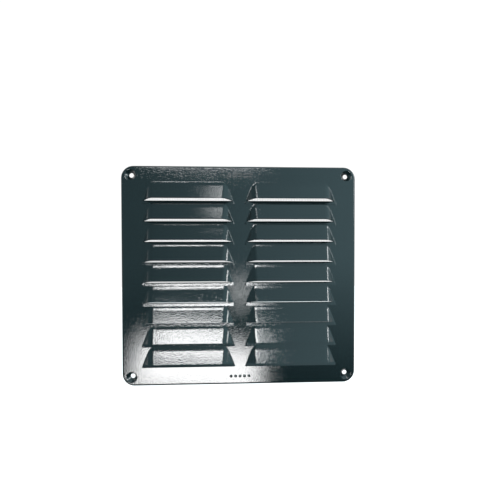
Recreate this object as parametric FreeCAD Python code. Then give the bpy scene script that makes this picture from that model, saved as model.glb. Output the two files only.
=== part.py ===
import FreeCAD, Part
import math
import os

from FreeCAD import Vector

# Louvred air grille: one pressed sheet-steel plate with hooded louvres, and a framed insect screen clipped
# behind it. The frame: +X right, +Z up, -Y out of the wall towards the room. The origin is the middle of the
# screw pattern, on the plane where the plate's turned-back rim and its screw dimples meet the wall.
# Everything is in millimetres.

# The pressed plate
PLATE_WIDTH = 230.0
PLATE_HEIGHT = 215.0
CORNER_RADIUS = 12.0
SHEET = 1.0
RIM_DEPTH = 4.0
RIM_BEND = 2.3

# The louvres, each a hood that is cut free along its lower edge and pressed outwards
LOUVRE_ROWS = 9
LOUVRE_COLUMNS = 2
ROW_PITCH = 19.95
FIRST_CUT_BELOW_TOP = 33.9
COLUMN_SPACING = 100.4
HOOD_LENGTH = 16.4
HOOD_PROTRUSION = 6.0
LIP_LIFT = 1.9
HOOD_FOOT_WIDTH = 87.8
HOOD_HEAD_WIDTH = 74.6
HOOD_LIP_WIDTH = 72.0
SHOULDER_RADIUS = 9.0
COVE_RADIUS = 20.0
COVE_MEETING_ANGLE = 6.0
COVE_SINK = 0.02
BEND_RADIUS = 1.5

# The dimpled screw holes in the corners
HOLE_SPACING_X = 211.0
HOLE_SPACING_Z = 197.0
HOLE_RADIUS = 2.25
HOLE_WALL = 0.9
DIMPLE_RADIUS = 5.2
DIMPLE_EDGE_RADIUS = 0.8

# The raised marks at the middle of the top and bottom margins
MARK_RELIEF = 0.5
BAR_COUNT = 5
BAR_ROWS = 2
BAR_LENGTH = 3.4
BAR_WIDTH = 1.4
BAR_PITCH = 5.0
BAR_ROW_PITCH = 2.6
BAR_BELOW_TOP = 9.0
PIP_COUNT = 5
PIP_RADIUS = 1.5
PIP_PITCH = 4.4
PIP_ABOVE_BOTTOM = 8.6

# The insect screen: wire cloth in a mitred edging of folded strip
SCREEN_WIDTH = 202.0
SCREEN_HEIGHT = 189.0
EDGING_WIDTH = 4.5
EDGING_SHEET = 0.5
WIRE_DIAMETER = 0.28
WIRE_PITCH = 1.6
WIRE_END_GAP = 0.6

# The clips that hold the screen, spot-welded to the back of the plate
CLIP_WIDTH = 10.0
CLIP_SHEET = 0.6
CLIP_BEND_RADIUS = 0.54
CLIP_FOOT = 6.0
CLIP_OVERLAP = 3.5
CLIP_SIDE_GAP = 0.3
CLIP_OFFSET_X = 52.0
CLIP_OFFSET_Z = 48.0

# Places that follow from those sizes
FRONT_Y = -RIM_DEPTH
BACK_Y = FRONT_Y + SHEET
TOP_Z = PLATE_HEIGHT / 2
BOTTOM_Z = -PLATE_HEIGHT / 2
FACE_TILT = math.degrees(math.atan2(HOOD_PROTRUSION, HOOD_LENGTH - LIP_LIFT))
MOUTH_TILT = math.degrees(math.atan2(LIP_LIFT, HOOD_PROTRUSION))
SCREEN_THICKNESS = 2 * EDGING_SHEET + 2 * WIRE_DIAMETER
WIRE_MIDDLE_Y = BACK_Y + SCREEN_THICKNESS / 2

# How far a cutting or supporting solid runs past what it cuts or supports
SPARE = 3.0
TOLERANCE = 1e-4
LOOSE_TOLERANCE = 1e-3


def spread(count, pitch):
    """The places of count things, a pitch apart, about the middle."""
    return [(i - (count - 1) / 2) * pitch for i in range(count)]


def box(x0, x1, y0, y1, z0, z1):
    """A box between two corners."""
    return Part.makeBox(x1 - x0, y1 - y0, z1 - z0, Vector(x0, y0, z0))


def rounded_block(width, height, corner_radius, y0, y1):
    """A rectangular block with rounded upright corners, centred on the Y axis."""
    block = box(-width / 2, width / 2, y0, y1, -height / 2, height / 2)
    corners = [e for e in block.Edges if e.BoundBox.XLength < TOLERANCE and e.BoundBox.ZLength < TOLERANCE]
    return block.makeFillet(corner_radius, corners)


def dished_block(inset):
    """The plate's outer form, without louvres, moved inwards by inset. It runs past the wall if inset."""
    width, height = PLATE_WIDTH - 2 * inset, PLATE_HEIGHT - 2 * inset
    block = rounded_block(width, height, CORNER_RADIUS - inset, FRONT_Y + inset, inset * SPARE)
    front = [e for e in block.Edges if e.BoundBox.YMax < FRONT_Y + inset + TOLERANCE]
    return block.makeFillet(RIM_BEND - inset, front)


def is_circle(edge, radius, y):
    """Whether edge is a full circle of this radius, on the upright plane at y."""
    curve = edge.Curve
    is_round = isinstance(curve, Part.Circle) and edge.Closed
    return is_round and abs(curve.Radius - radius) + abs(curve.Center.y - y) < TOLERANCE


def face_outline(inset):
    """The side outline of one hood's sloping face, moved inwards by inset, as an upright wire at x = 0.

    The sheet's front is y = 0. The face runs straight up from its lip, and a cove leads it into the sheet.
    """
    tilt, meeting = math.radians(FACE_TILT), math.radians(COVE_MEETING_ANGLE)
    radius = COVE_RADIUS + inset
    middle_y = inset + COVE_SINK - radius * math.cos(meeting)
    line_offset = HOOD_LENGTH * math.sin(tilt) - inset
    middle_z = (line_offset + radius + math.cos(tilt) * middle_y) / math.sin(tilt)

    def on_cove(angle):
        return Vector(0, middle_y + radius * math.cos(angle), middle_z - radius * math.sin(angle))

    down_face = Vector(0, -math.sin(tilt), -math.cos(tilt))
    up_past_sheet = Vector(0, math.sin(meeting), math.cos(meeting))
    foot_of_cove, head_of_cove = on_cove(tilt), on_cove(meeting)
    below = foot_of_cove + down_face * ((foot_of_cove.z + SPARE) / math.cos(tilt))
    above = head_of_cove + up_past_sheet * (2 * SPARE)
    back = inset + 2 * SPARE
    corners = [above, Vector(0, back, above.z), Vector(0, back, below.z), below]
    lines = [Part.makeLine(a, b) for a, b in zip([head_of_cove, *corners], [*corners, foot_of_cove])]
    cove = Part.Arc(foot_of_cove, on_cove((tilt + meeting) / 2), head_of_cove).toShape()
    return Part.Wire([*lines, cove])


def beyond_end(side, inset):
    """What is cut away past one end wall of a hood, moved inwards by inset. side is -1 for the left end."""
    foot = Vector(HOOD_FOOT_WIDTH / 2, 0, 0)
    head = Vector(HOOD_HEAD_WIDTH / 2, 0, HOOD_LENGTH)
    lip = Vector(HOOD_LIP_WIDTH / 2, -HOOD_PROTRUSION, LIP_LIFT)
    outwards = (head - foot).cross(lip - foot).normalize()
    size = 2 * HOOD_FOOT_WIDTH
    block = Part.makeBox(size, size, size, Vector(-size / 2, -size / 2, 0))
    block.Placement = FreeCAD.Placement(foot - outwards * inset, FreeCAD.Rotation(Vector(0, 0, 1), outwards))
    if side < 0:
        block = block.mirror(Vector(0, 0, 0), Vector(1, 0, 0))
    return block


def hood_wedge(inset):
    """One hood with rounded shoulders, moved inwards by inset, run out past the cut and into the sheet."""
    half_width = HOOD_FOOT_WIDTH / 2 + SPARE
    face = Part.Face(face_outline(inset))
    face.translate(Vector(-2 * half_width, 0, 0))
    wedge = face.extrude(Vector(4 * half_width, 0, 0))
    wedge = wedge.cut([beyond_end(side, inset) for side in (-1, 1)])
    shoulders = [
        e
        for e in wedge.Edges
        if e.BoundBox.YMax < inset + 2 * SPARE - TOLERANCE
        and e.BoundBox.ZLength > TOLERANCE
        and abs(e.BoundBox.Center.x) > SHOULDER_RADIUS
    ]
    return wedge.makeFillet(SHOULDER_RADIUS - inset, shoulders)


def hood_form(inset):
    """One hood bent out of a patch of the sheet, moved inwards by inset."""
    half_width = HOOD_FOOT_WIDTH / 2 + SPARE
    top = HOOD_LENGTH + 2 * SPARE
    patch = box(-half_width, half_width, inset, inset + SHEET, -SPARE, top)
    room = box(-half_width, half_width, -2 * HOOD_PROTRUSION, inset + SHEET, -SPARE, top)
    form = hood_wedge(inset).common(room).fuse(patch).removeSplitter()
    bend = [
        e
        for e in form.Edges
        if abs(e.BoundBox.YMin - inset) + abs(e.BoundBox.YMax - inset) < LOOSE_TOLERANCE
        and max(abs(e.BoundBox.XMin), abs(e.BoundBox.XMax)) < half_width - TOLERANCE
        and e.BoundBox.ZMax < top - TOLERANCE
        and e.BoundBox.ZMax > -SPARE + TOLERANCE
    ]
    return form.makeFillet(BEND_RADIUS + inset, bend)


def below_the_mouth():
    """What is cut from a hood to open its mouth, which rises from the cut in the sheet to the hood's lip."""
    half_width = HOOD_FOOT_WIDTH / 2 + 2 * SPARE
    depth = 2 * HOOD_PROTRUSION
    below = box(-half_width, half_width, -depth, 0, -depth, 0)
    below.rotate(Vector(0, 0, 0), Vector(1, 0, 0), -MOUTH_TILT)
    return below


def louvre_places():
    """The middle of each louvre's cut, on the front of the sheet."""
    for row in range(LOUVRE_ROWS):
        z = TOP_Z - FIRST_CUT_BELOW_TOP - row * ROW_PITCH
        for x in spread(LOUVRE_COLUMNS, COLUMN_SPACING):
            yield Vector(x, FRONT_Y, z)


def screw_places():
    """The middle of each screw hole, on the wall plane."""
    for x in (-HOLE_SPACING_X / 2, HOLE_SPACING_X / 2):
        for z in (-HOLE_SPACING_Z / 2, HOLE_SPACING_Z / 2):
            yield Vector(x, 0, z)


def turned(profile, place):
    """A solid turned about the Y direction through place, from a closed outline of (radius, y) points."""
    points = [Vector(r, y, 0) for r, y in profile]
    face = Part.Face(Part.makePolygon(points + points[:1]))
    solid = face.revolve(Vector(0, 0, 0), Vector(0, 1, 0), 360)
    solid.translate(place)
    return solid


def dimple_slope():
    """How much a dimple's radius shrinks for each millimetre of its depth."""
    return (DIMPLE_RADIUS - HOLE_RADIUS) / (RIM_DEPTH - HOLE_WALL)


def dimple_back(place):
    """The back of one screw dimple: a cone one sheet's thickness behind its front."""
    sideways = SHEET * math.hypot(1, dimple_slope())
    radius_at_wall = DIMPLE_RADIUS + sideways - dimple_slope() * RIM_DEPTH
    radius_at_front = DIMPLE_RADIUS + sideways
    return turned([(0, 0), (radius_at_wall, 0), (radius_at_front, FRONT_Y), (0, FRONT_Y)], place)


def dimple_front(place):
    """What is cut for one screw: its countersink, and the plain hole at the bottom of it."""
    past_wall, past_front = SPARE, FRONT_Y - SPARE
    return turned(
        [
            (0, past_wall),
            (HOLE_RADIUS, past_wall),
            (HOLE_RADIUS, -HOLE_WALL),
            (DIMPLE_RADIUS, FRONT_Y),
            (DIMPLE_RADIUS, past_front),
            (0, past_front),
        ],
        place,
    )


def crown_radius(half_width):
    """The radius of an arc that is as wide as a raised mark at its foot, and stands MARK_RELIEF high."""
    return (half_width**2 + MARK_RELIEF**2) / (2 * MARK_RELIEF)


def raised_marks():
    """Two rows of short ridges at the top and a row of low domes at the bottom, sunk into the sheet."""
    bar_z, pip_z = TOP_Z - BAR_BELOW_TOP, BOTTOM_Z + PIP_ABOVE_BOTTOM
    bar_radius, pip_radius = crown_radius(BAR_WIDTH / 2), crown_radius(PIP_RADIUS)
    bar_y, pip_y = FRONT_Y - MARK_RELIEF + bar_radius, FRONT_Y - MARK_RELIEF + pip_radius
    bar = Part.makeCylinder(bar_radius, BAR_LENGTH, Vector(-BAR_LENGTH / 2, bar_y, bar_z), Vector(1, 0, 0))
    bars = [
        placed(bar, Vector(x, 0, z))
        for x in spread(BAR_COUNT, BAR_PITCH)
        for z in spread(BAR_ROWS, BAR_ROW_PITCH)
    ]
    pips = [Part.makeSphere(pip_radius, Vector(x, pip_y, pip_z)) for x in spread(PIP_COUNT, PIP_PITCH)]
    reach = PLATE_WIDTH / 2
    kept = box(-reach, reach, FRONT_Y - 2 * MARK_RELIEF, FRONT_Y + SHEET / 2, BOTTOM_Z, TOP_Z)
    return [mark.common(kept) for mark in bars + pips]


def placed(shape, place):
    """A copy of shape, moved to place."""
    copy = shape.copy()
    copy.translate(place)
    return copy


def louvre_plate():
    """The pressed plate: dished rim, louvres, screw dimples and raised marks, in one sheet."""
    hood = hood_form(0).cut(below_the_mouth())
    hollow = hood_form(SHEET).cut(box(-PLATE_WIDTH, PLATE_WIDTH, -PLATE_WIDTH, SHEET, -PLATE_WIDTH, 0))
    hoods = [placed(hood, place) for place in louvre_places()]
    hollows = [placed(hollow, place) for place in louvre_places()]
    plate = dished_block(0).fuse(hoods).removeSplitter()
    inside = dished_block(SHEET).cut([dimple_back(place) for place in screw_places()])
    plate = plate.cut([inside, *hollows]).removeSplitter()
    plate = plate.cut([dimple_front(place) for place in screw_places()])
    plate = round_dimples(plate)
    return plate.fuse(raised_marks())


def round_dimples(plate):
    """The plate with the edge where each screw dimple leaves its front rounded."""
    edges = [e for e in plate.Edges if is_circle(e, DIMPLE_RADIUS, FRONT_Y)]
    return plate.makeFillet(DIMPLE_EDGE_RADIUS, edges)


def wires_within(length):
    """How many wires, a pitch apart, fit in a length of the cloth."""
    return 2 * int((length / 2 - WIRE_END_GAP - WIRE_DIAMETER) / WIRE_PITCH) + 1


def screen_warp_wires():
    """The upright wires of the cloth, in the layer next to the plate."""
    length = SCREEN_HEIGHT - 2 * (EDGING_SHEET + WIRE_END_GAP)
    y = WIRE_MIDDLE_Y - WIRE_DIAMETER / 2
    return Part.makeCompound(
        [
            Part.makeCylinder(WIRE_DIAMETER / 2, length, Vector(x, y, -length / 2), Vector(0, 0, 1))
            for x in spread(wires_within(SCREEN_WIDTH), WIRE_PITCH)
        ]
    )


def screen_weft_wires():
    """The level wires of the cloth, in the layer next to the wall."""
    length = SCREEN_WIDTH - 2 * (EDGING_SHEET + WIRE_END_GAP)
    y = WIRE_MIDDLE_Y + WIRE_DIAMETER / 2
    return Part.makeCompound(
        [
            Part.makeCylinder(WIRE_DIAMETER / 2, length, Vector(-length / 2, y, z), Vector(1, 0, 0))
            for z in spread(wires_within(SCREEN_HEIGHT), WIRE_PITCH)
        ]
    )


def edging_strip(length, half_span):
    """One side of the screen's edging: a strip folded into a U over the cloth's edge, mitred at both ends.

    It lies along X with its folded edge at z = half_span, and opens downwards.
    """
    y0, y1 = BACK_Y, BACK_Y + SCREEN_THICKNESS
    z0 = half_span - EDGING_WIDTH
    outside = box(-length / 2, length / 2, y0, y1, z0, half_span)
    top_edges = [e for e in outside.Edges if e.BoundBox.ZMin > half_span - TOLERANCE]
    fold = [e for e in top_edges if e.BoundBox.YLength < TOLERANCE and e.BoundBox.XLength > TOLERANCE]
    outside = outside.makeFillet(SCREEN_THICKNESS / 2 - TOLERANCE, fold)
    slot_end = half_span - EDGING_SHEET - WIRE_END_GAP / 2
    slot = box(-length, length, y0 + EDGING_SHEET, y1 - EDGING_SHEET, z0 - SPARE, slot_end)
    strip = outside.cut(slot)
    for side in (-1, 1):
        corner = [
            Vector(side * length / 2, y0 - SPARE, half_span),
            Vector(side * (length / 2 - 2 * EDGING_WIDTH), y0 - SPARE, half_span - 2 * EDGING_WIDTH),
            Vector(side * length / 2, y0 - SPARE, half_span - 2 * EDGING_WIDTH),
        ]
        triangle = Part.Face(Part.makePolygon(corner + corner[:1]))
        mitre = triangle.extrude(Vector(0, SCREEN_THICKNESS + 2 * SPARE, 0))
        strip = strip.cut(mitre)
    return strip


def screen_clip(edge):
    """One clip over the top of the screen: a foot on the plate, a rise, and a lip that laps the edging."""
    back = BACK_Y + SCREEN_THICKNESS
    inner = edge + CLIP_SIDE_GAP
    outline = [
        (BACK_Y, inner),
        (back, inner),
        (back, edge - CLIP_OVERLAP),
        (back + CLIP_SHEET, edge - CLIP_OVERLAP),
        (back + CLIP_SHEET, inner + CLIP_SHEET),
        (BACK_Y + CLIP_SHEET, inner + CLIP_SHEET),
        (BACK_Y + CLIP_SHEET, inner + CLIP_FOOT),
        (BACK_Y, inner + CLIP_FOOT),
    ]
    points = [Vector(-CLIP_WIDTH / 2, y, z) for y, z in outline]
    clip = Part.Face(Part.makePolygon(points + points[:1])).extrude(Vector(CLIP_WIDTH, 0, 0))
    bends = [
        e
        for e in clip.Edges
        if e.BoundBox.XLength > CLIP_WIDTH - TOLERANCE
        and (
            abs(e.BoundBox.YMin - back - CLIP_SHEET) + abs(e.BoundBox.ZMin - inner - CLIP_SHEET) < TOLERANCE
            or abs(e.BoundBox.YMin - BACK_Y) + abs(e.BoundBox.ZMin - inner) < TOLERANCE
        )
    ]
    return clip.makeFillet(CLIP_BEND_RADIUS, bends)


def quarter_turns(shape, turns):
    """A copy of shape, turned by a number of quarter turns, from the top towards the right."""
    copy = shape.copy()
    copy.rotate(Vector(0, 0, 0), Vector(0, 1, 0), 90 * turns)
    return copy


def screen_edging():
    """The four mitred sides of the screen's edging, by node name."""
    level = edging_strip(SCREEN_WIDTH, SCREEN_HEIGHT / 2)
    upright = edging_strip(SCREEN_HEIGHT, SCREEN_WIDTH / 2)
    return {
        "screen_edging_top": level,
        "screen_edging_right": quarter_turns(upright, 1),
        "screen_edging_bottom": quarter_turns(level, 2),
        "screen_edging_left": quarter_turns(upright, 3),
    }


def screen_clips():
    """The eight clips, two to a side of the screen, by node name."""
    clips = {}
    level, upright = screen_clip(SCREEN_HEIGHT / 2), screen_clip(SCREEN_WIDTH / 2)
    for sign, end in ((-1, "left"), (1, "right")):
        along = Vector(sign * CLIP_OFFSET_X, 0, 0)
        clips[f"screen_clip_top_{end}"] = placed(level, along)
        clips[f"screen_clip_bottom_{end}"] = placed(quarter_turns(level, 2), along)
    for sign, end in ((-1, "lower"), (1, "upper")):
        along = Vector(0, 0, sign * CLIP_OFFSET_Z)
        clips[f"screen_clip_right_{end}"] = placed(quarter_turns(upright, 1), along)
        clips[f"screen_clip_left_{end}"] = placed(quarter_turns(upright, 3), along)
    return clips


def grille():
    """Every sub-part by node name."""
    return {
        "louvre_plate": louvre_plate(),
        "screen_warp_wires": screen_warp_wires(),
        "screen_weft_wires": screen_weft_wires(),
        **screen_edging(),
        **screen_clips(),
    }


def main():
    os.makedirs("parts", exist_ok=True)
    for name, shape in grille().items():
        shape.exportStep(f"parts/{name}.step")
        print(f"{name}: {len(shape.Solids)} solids, valid {shape.isValid()}, {shape.Volume:.1f} mm3")


main()
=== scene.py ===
import math

import bpy
import numpy as np
from mathutils import Matrix, Vector


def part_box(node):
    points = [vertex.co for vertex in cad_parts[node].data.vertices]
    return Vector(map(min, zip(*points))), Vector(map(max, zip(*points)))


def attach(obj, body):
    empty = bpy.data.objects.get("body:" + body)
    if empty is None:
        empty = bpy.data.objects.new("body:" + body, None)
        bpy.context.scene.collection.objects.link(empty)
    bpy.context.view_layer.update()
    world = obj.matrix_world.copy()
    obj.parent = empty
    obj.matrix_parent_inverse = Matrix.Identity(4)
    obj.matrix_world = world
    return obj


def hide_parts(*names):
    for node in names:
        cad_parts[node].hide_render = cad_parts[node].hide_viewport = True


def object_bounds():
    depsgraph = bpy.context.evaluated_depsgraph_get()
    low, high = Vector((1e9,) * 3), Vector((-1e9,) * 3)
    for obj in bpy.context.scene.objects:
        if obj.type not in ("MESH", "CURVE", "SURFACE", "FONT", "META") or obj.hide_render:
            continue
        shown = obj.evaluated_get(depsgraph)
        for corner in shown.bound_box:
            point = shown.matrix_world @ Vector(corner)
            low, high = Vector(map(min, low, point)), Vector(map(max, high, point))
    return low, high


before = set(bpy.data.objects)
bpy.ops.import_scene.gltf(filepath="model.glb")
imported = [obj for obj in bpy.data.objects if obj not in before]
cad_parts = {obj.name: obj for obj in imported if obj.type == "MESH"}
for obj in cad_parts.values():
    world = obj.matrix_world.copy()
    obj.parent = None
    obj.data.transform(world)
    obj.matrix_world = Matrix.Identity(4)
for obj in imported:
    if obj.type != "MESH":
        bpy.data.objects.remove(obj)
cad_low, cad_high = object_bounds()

MM = 0.001

# The wire cloth of the insect screen
WIRE_DIAMETER = 0.28 * MM
WIRE_PITCH = 1.6 * MM
WIRE_SIDES = 4

# The height of the paint's pebbled skin
PEEL_HEIGHT = 0.10 * MM

# Where the grille is seen from: the eye is this far in front of the wall plane
EYE = Vector((0.8, -270.0, 29.2)) * MM
EYE_TURN = math.radians(-1.98)
EYE_NOD = math.radians(-0.80)
EYE_LEAN = math.radians(0.09)
SENSOR = 36.0
LENS = 19.51
NEAREST_SEEN = 0.01
FARTHEST_SEEN = 50.0

# The floor: how far it lies below the grille, and half its width
FLOOR_DROP = 0.80
FLOOR_HALF = 6.0

# The room that the grille faces, and the backdrop behind it
ROOM_COLOUR = (0.64, 0.97, 1.07, 1)
ROOM_LEFT = 0.42
ROOM_RIGHT = 1.20
ROOM_LOW = 0.05
BACKDROP_STRENGTH = 1.05
WHITE = (1, 1, 1, 1)


# ---------------------------------------------------------------- node helpers


def new_group(name, inputs, outputs):
    """A shader node group. inputs: (name, kind, default); outputs: (name, kind)."""
    group = bpy.data.node_groups.new(name, "ShaderNodeTree")
    for label, kind, default in inputs:
        socket = group.interface.new_socket(name=label, in_out="INPUT", socket_type=kind)
        socket.default_value = default
    for label, kind in outputs:
        group.interface.new_socket(name=label, in_out="OUTPUT", socket_type=kind)
    start = group.nodes.new("NodeGroupInput")
    end = group.nodes.new("NodeGroupOutput")
    return group, start, end


def node(tree, kind, links=None, **settings):
    """A node with its settings. Each input is linked from a socket or set to a plain value."""
    made = tree.nodes.new(kind)
    for key, value in settings.items():
        setattr(made, key, value)
    for label, value in (links or {}).items():
        if isinstance(value, bpy.types.NodeSocket):
            tree.links.new(value, made.inputs[label])
        else:
            made.inputs[label].default_value = value
    return made


def maths(tree, operation, a, b):
    """The result of one Math node."""
    return node(tree, "ShaderNodeMath", {0: a, 1: b}, operation=operation).outputs[0]


def fade(tree, value, low, high, at_low, at_high):
    """A value that runs from at_low to at_high as its input runs from low to high."""
    limits = {"From Min": low, "From Max": high, "To Min": at_low, "To Max": at_high}
    return node(tree, "ShaderNodeMapRange", {"Value": value, **limits}).outputs["Result"]


def noise(tree, scale, detail):
    """Smooth noise over the piece."""
    place = node(tree, "ShaderNodeTexCoord").outputs["Object"]
    values = {"Vector": place, "Scale": scale, "Detail": detail}
    return node(tree, "ShaderNodeTexNoise", values).outputs["Fac"]


def orange_peel_group():
    """The pebbled skin of a thick gloss paint: broad waves with finer grain on top, as a height."""
    group, start, end = new_group(
        "orange_peel",
        [
            ("Wave Scale", "NodeSocketFloat", 700.0),
            ("Grain Scale", "NodeSocketFloat", 2200.0),
            ("Grain Share", "NodeSocketFloat", 0.3),
        ],
        [("Height", "NodeSocketFloat")],
    )
    wave = noise(group, start.outputs["Wave Scale"], detail=1.0)
    grain = noise(group, start.outputs["Grain Scale"], detail=1.0)
    share = start.outputs["Grain Share"]
    rest = maths(group, "SUBTRACT", 1.0, share)
    height = maths(
        group,
        "ADD",
        maths(group, "MULTIPLY", wave, rest),
        maths(group, "MULTIPLY", grain, share),
    )
    group.links.new(height, end.inputs["Height"])
    return group


def handling_group():
    """Slow, cloudy changes of gloss left by wiping and handling, between two roughnesses."""
    group, start, end = new_group(
        "handling_marks",
        [
            ("Scale", "NodeSocketFloat", 14.0),
            ("Low", "NodeSocketFloat", 0.1),
            ("High", "NodeSocketFloat", 0.2),
        ],
        [("Roughness", "NodeSocketFloat")],
    )
    cloud = noise(group, start.outputs["Scale"], detail=6.0)
    low, high = start.outputs["Low"], start.outputs["High"]
    spread = fade(group, cloud, low=0.35, high=0.65, at_low=low, at_high=high)
    group.links.new(spread, end.inputs["Roughness"])
    return group


def mottle_group():
    """A surface colour that wanders a little between two shades."""
    group, start, end = new_group(
        "shade_mottle",
        [
            ("Scale", "NodeSocketFloat", 60.0),
            ("Darker", "NodeSocketColor", (0.1, 0.1, 0.1, 1)),
            ("Lighter", "NodeSocketColor", (0.2, 0.2, 0.2, 1)),
        ],
        [("Color", "NodeSocketColor")],
    )
    cloud = noise(group, start.outputs["Scale"], detail=4.0)
    mix = node(group, "ShaderNodeMix", data_type="RGBA")
    group.links.new(cloud, mix.inputs["Factor"])
    # A Mix node has a set of sockets for each kind of value: 6, 7 and output 2 are the colours
    group.links.new(start.outputs["Darker"], mix.inputs[6])
    group.links.new(start.outputs["Lighter"], mix.inputs[7])
    group.links.new(mix.outputs[2], end.inputs["Color"])
    return group


GROUPS = {"peel": orange_peel_group(), "handling": handling_group(), "mottle": mottle_group()}


def use_group(tree, key, **values):
    """One of the shared groups, placed in a material with its own values."""
    made = tree.nodes.new("ShaderNodeGroup")
    made.node_tree = GROUPS[key]
    for label, value in values.items():
        made.inputs[label.replace("_", " ")].default_value = value
    return made


def new_material(name, **values):
    """A material with one Principled shader, its plain values set on its own sockets."""
    material = bpy.data.materials.new(name)
    material.use_nodes = True
    shader = material.node_tree.nodes["Principled BSDF"]
    for label, value in values.items():
        shader.inputs[label.replace("_", " ")].default_value = value
    return material, material.node_tree, shader


def gloss_paint():
    """Thick, very dark teal gloss paint with a strongly pebbled skin."""
    material, tree, shader = new_material(
        "dark_gloss_paint", IOR=1.5, Coat_Weight=0.3, Coat_Roughness=0.03, Coat_IOR=1.5
    )
    darker, lighter = (0.0018, 0.0048, 0.0055, 1), (0.0030, 0.0070, 0.0078, 1)
    shade = use_group(tree, "mottle", Scale=35.0, Darker=darker, Lighter=lighter)
    gloss = use_group(tree, "handling", Scale=18.0, Low=0.03, High=0.06)
    peel = use_group(tree, "peel", Wave_Scale=740.0, Grain_Scale=1250.0, Grain_Share=0.5)
    bump = node(tree, "ShaderNodeBump", {"Strength": 1.0, "Distance": PEEL_HEIGHT})
    tree.links.new(peel.outputs["Height"], bump.inputs["Height"])
    tree.links.new(shade.outputs["Color"], shader.inputs["Base Color"])
    tree.links.new(gloss.outputs["Roughness"], shader.inputs["Roughness"])
    tree.links.new(bump.outputs["Normal"], shader.inputs["Normal"])
    tree.links.new(bump.outputs["Normal"], shader.inputs["Coat Normal"])
    return material


def bright_metal(name, darker, lighter, low, high, grain):
    """Bare or plated metal with a slightly uneven shade, gloss and skin."""
    material, tree, shader = new_material(name, Metallic=1.0)
    shade = use_group(tree, "mottle", Scale=grain, Darker=(*darker, 1), Lighter=(*lighter, 1))
    gloss = use_group(tree, "handling", Scale=grain, Low=low, High=high)
    peel = use_group(tree, "peel", Wave_Scale=900.0, Grain_Scale=4000.0, Grain_Share=0.5)
    bump = node(tree, "ShaderNodeBump", {"Strength": 0.15, "Distance": 0.03 * MM})
    tree.links.new(peel.outputs["Height"], bump.inputs["Height"])
    tree.links.new(shade.outputs["Color"], shader.inputs["Base Color"])
    tree.links.new(gloss.outputs["Roughness"], shader.inputs["Roughness"])
    tree.links.new(bump.outputs["Normal"], shader.inputs["Normal"])
    return material


PAINT = gloss_paint()
WIRE = bright_metal("drawn_wire", (0.62, 0.63, 0.64), (0.76, 0.77, 0.78), 0.28, 0.40, 300.0)
EDGING = bright_metal("folded_strip", (0.55, 0.56, 0.57), (0.72, 0.73, 0.74), 0.30, 0.45, 90.0)
CLIP = bright_metal("plated_clip", (0.50, 0.51, 0.52), (0.66, 0.66, 0.64), 0.22, 0.38, 160.0)


def finish_in(name, material):
    """Gives a CAD node its material."""
    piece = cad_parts[name]
    for slot in piece.material_slots:
        slot.material = material


# ---------------------------------------------------------------- the insect screen


def woven_wires(name, across, along, lift):
    """One set of the cloth's wires as one mesh. Each wire bends over and under those it crosses.

    across and along are axis numbers: the wires are spaced out along the first, and run along
    the second. lift is 1 or -1, opposite for the two sets, so that one goes over as the other
    goes under.
    """
    low, high = (Vector(corner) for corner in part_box(name))
    middle = (screen_low.y + screen_high.y) / 2
    radius = WIRE_DIAMETER / 2
    count = round((high[across] - low[across] - WIRE_DIAMETER) / WIRE_PITCH) + 1
    crossings = round((CROSSED[name][1] - CROSSED[name][0] - WIRE_DIAMETER) / WIRE_PITCH) + 1
    stations = (np.arange(crossings) - (crossings - 1) / 2) * WIRE_PITCH
    stations = np.concatenate([[low[along]], stations, [high[along]]])
    verts, faces = [], []
    for i in range(count):
        place = (i - (count - 1) / 2) * WIRE_PITCH
        first = len(verts)
        for j, station in enumerate(stations):
            inside = 0 < j < len(stations) - 1
            bend = lift * radius * (-1) ** (i + j) if inside else 0.0
            for k in range(WIRE_SIDES):
                turn = math.tau * (k + 0.5) / WIRE_SIDES
                point = [0.0, middle + bend + radius * math.sin(turn), 0.0]
                point[across] = place + radius * math.cos(turn)
                point[along] = station
                verts.append(point)
        for j in range(len(stations) - 1):
            for k in range(WIRE_SIDES):
                a = first + j * WIRE_SIDES + k
                b = first + j * WIRE_SIDES + (k + 1) % WIRE_SIDES
                faces.append((a, b, b + WIRE_SIDES, a + WIRE_SIDES))
        last = first + (len(stations) - 1) * WIRE_SIDES
        faces.append(tuple(first + k for k in reversed(range(WIRE_SIDES))))
        faces.append(tuple(last + k for k in range(WIRE_SIDES)))
    mesh = bpy.data.meshes.new(f"{name}_woven")
    mesh.from_pydata(verts, [], faces)
    mesh.polygons.foreach_set("use_smooth", [True] * len(mesh.polygons))
    mesh.materials.append(WIRE)
    mesh.update()
    piece = bpy.data.objects.new(f"{name}_woven", mesh)
    bpy.context.scene.collection.objects.link(piece)
    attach(piece, "root")
    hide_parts(name)


warp_low, warp_high = (Vector(corner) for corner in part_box("screen_warp_wires"))
weft_low, weft_high = (Vector(corner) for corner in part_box("screen_weft_wires"))
screen_low = Vector(map(min, warp_low, weft_low))
screen_high = Vector(map(max, warp_high, weft_high))
CROSSED = {
    "screen_warp_wires": (weft_low.z, weft_high.z),
    "screen_weft_wires": (warp_low.x, warp_high.x),
}

finish_in("louvre_plate", PAINT)
for edge in ("top", "right", "bottom", "left"):
    finish_in(f"screen_edging_{edge}", EDGING)
for place in (
    "top_left",
    "top_right",
    "bottom_left",
    "bottom_right",
    "left_lower",
    "left_upper",
    "right_lower",
    "right_upper",
):
    finish_in(f"screen_clip_{place}", CLIP)
woven_wires("screen_warp_wires", across=0, along=2, lift=1)
woven_wires("screen_weft_wires", across=2, along=0, lift=-1)


# ---------------------------------------------------------------- floor, light and camera


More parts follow.
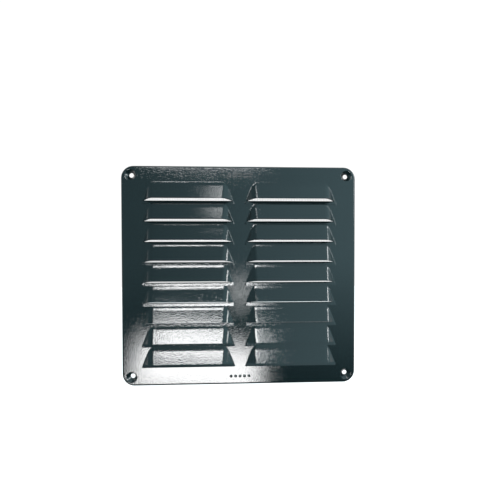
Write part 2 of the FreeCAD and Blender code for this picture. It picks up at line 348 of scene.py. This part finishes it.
def pale_floor():
    """A plain, pale floor under the grille."""
    mesh = bpy.data.meshes.new("floor")
    z = cad_low.z - FLOOR_DROP
    signs = ((-1, -1), (1, -1), (1, 1), (-1, 1))
    corners = [(x * FLOOR_HALF, y * FLOOR_HALF, z) for x, y in signs]
    mesh.from_pydata(corners, [], [(0, 1, 2, 3)])
    material, _, _ = new_material(
        "pale_floor",
        Base_Color=(0.9, 0.9, 0.9, 1),
        Roughness=0.9,
        Emission_Color=WHITE,
        Emission_Strength=0.5,
    )
    mesh.materials.append(material)
    floor = bpy.data.objects.new("floor", mesh)
    bpy.context.scene.collection.objects.link(floor)
    floor.visible_glossy = False


def studio_world():
    """Soft surrounding light: a white backdrop, and a cool, dimmer room that the grille faces.

    The room is brighter to the right than to the left, and darkest low down.
    """
    world = bpy.data.worlds.new("studio")
    bpy.context.scene.world = world
    world.use_nodes = True
    tree = world.node_tree
    sky = node(tree, "ShaderNodeTexCoord").outputs["Generated"]
    x, y, z = node(tree, "ShaderNodeSeparateXYZ", {0: sky}).outputs
    sideways = fade(tree, x, low=-0.35, high=0.35, at_low=ROOM_LEFT, at_high=ROOM_RIGHT)
    upwards = fade(tree, z, low=-0.45, high=-0.05, at_low=ROOM_LOW, at_high=1.0)
    room = node(
        tree,
        "ShaderNodeBackground",
        {"Color": ROOM_COLOUR, "Strength": maths(tree, "MULTIPLY", sideways, upwards)},
    )
    backdrop = node(tree, "ShaderNodeBackground", {"Color": WHITE, "Strength": BACKDROP_STRENGTH})
    behind = fade(tree, y, low=-0.1, high=0.1, at_low=0.0, at_high=1.0)
    seen = node(tree, "ShaderNodeLightPath").outputs["Is Camera Ray"]
    white = maths(tree, "MAXIMUM", behind, seen)
    mix = node(tree, "ShaderNodeMixShader", {0: white, 1: room.outputs[0], 2: backdrop.outputs[0]})
    tree.links.new(mix.outputs[0], tree.nodes["World Output"].inputs["Surface"])


def soft_light(name, heading, elevation, distance, width, height, radiance, roll=0.0):
    """A rectangular soft light that faces the grille. Its lengths are in metres.

    The angles are in degrees: heading is measured from straight ahead towards +X, and roll
    turns the light clockwise, as seen from the grille.
    """
    a, e = math.radians(heading), math.radians(elevation)
    towards = Vector((math.sin(a) * math.cos(e), -math.cos(a) * math.cos(e), math.sin(e)))
    light = bpy.data.lights.new(name, "AREA")
    light.shape = "RECTANGLE"
    light.size, light.size_y = width, height
    light.energy = radiance * math.pi * width * height
    lamp = bpy.data.objects.new(name, light)
    facing = towards.to_track_quat("Z", "Y").to_matrix().to_4x4()
    rolled = facing @ Matrix.Rotation(math.radians(roll), 4, "Z")
    lamp.matrix_world = Matrix.Translation(towards * distance) @ rolled
    lamp.visible_camera = False
    bpy.context.scene.collection.objects.link(lamp)


def camera():
    """The camera, at the eye, looking almost straight at the grille."""
    data = bpy.data.cameras.new("camera")
    data.sensor_width, data.lens = SENSOR, LENS
    data.clip_start, data.clip_end = NEAREST_SEEN, FARTHEST_SEEN
    eye = bpy.data.objects.new("camera", data)
    turn = (
        Matrix.Rotation(EYE_TURN, 4, "Z")
        @ Matrix.Rotation(EYE_NOD, 4, "X")
        @ Matrix.Rotation(EYE_LEAN, 4, "Y")
        @ Matrix.Rotation(math.radians(90), 4, "X")
    )
    eye.matrix_world = Matrix.Translation(EYE) @ turn
    bpy.context.scene.collection.objects.link(eye)
    bpy.context.scene.camera = eye


pale_floor()
studio_world()
soft_light(
    "upper_soft_light",
    heading=-8.45, elevation=24.1, distance=3.88, width=1.54, height=0.5, radiance=21,
)
soft_light(
    "lower_soft_light",
    heading=-11.0, elevation=-28.0, distance=1.135, width=0.56, height=0.23, radiance=20, roll=-12,
)
soft_light(
    "middle_soft_light",
    heading=0, elevation=-10.5, distance=1.0, width=0.08, height=0.12, radiance=7,
)
soft_light(
    "top_soft_light",
    heading=-7, elevation=56, distance=1.2, width=0.13, height=0.16, radiance=6,
)
soft_light(
    "right_soft_light",
    heading=62, elevation=20, distance=1.5, width=0.2, height=0.7, radiance=14,
)
camera()
bpy.context.scene.view_settings.view_transform = "Standard"
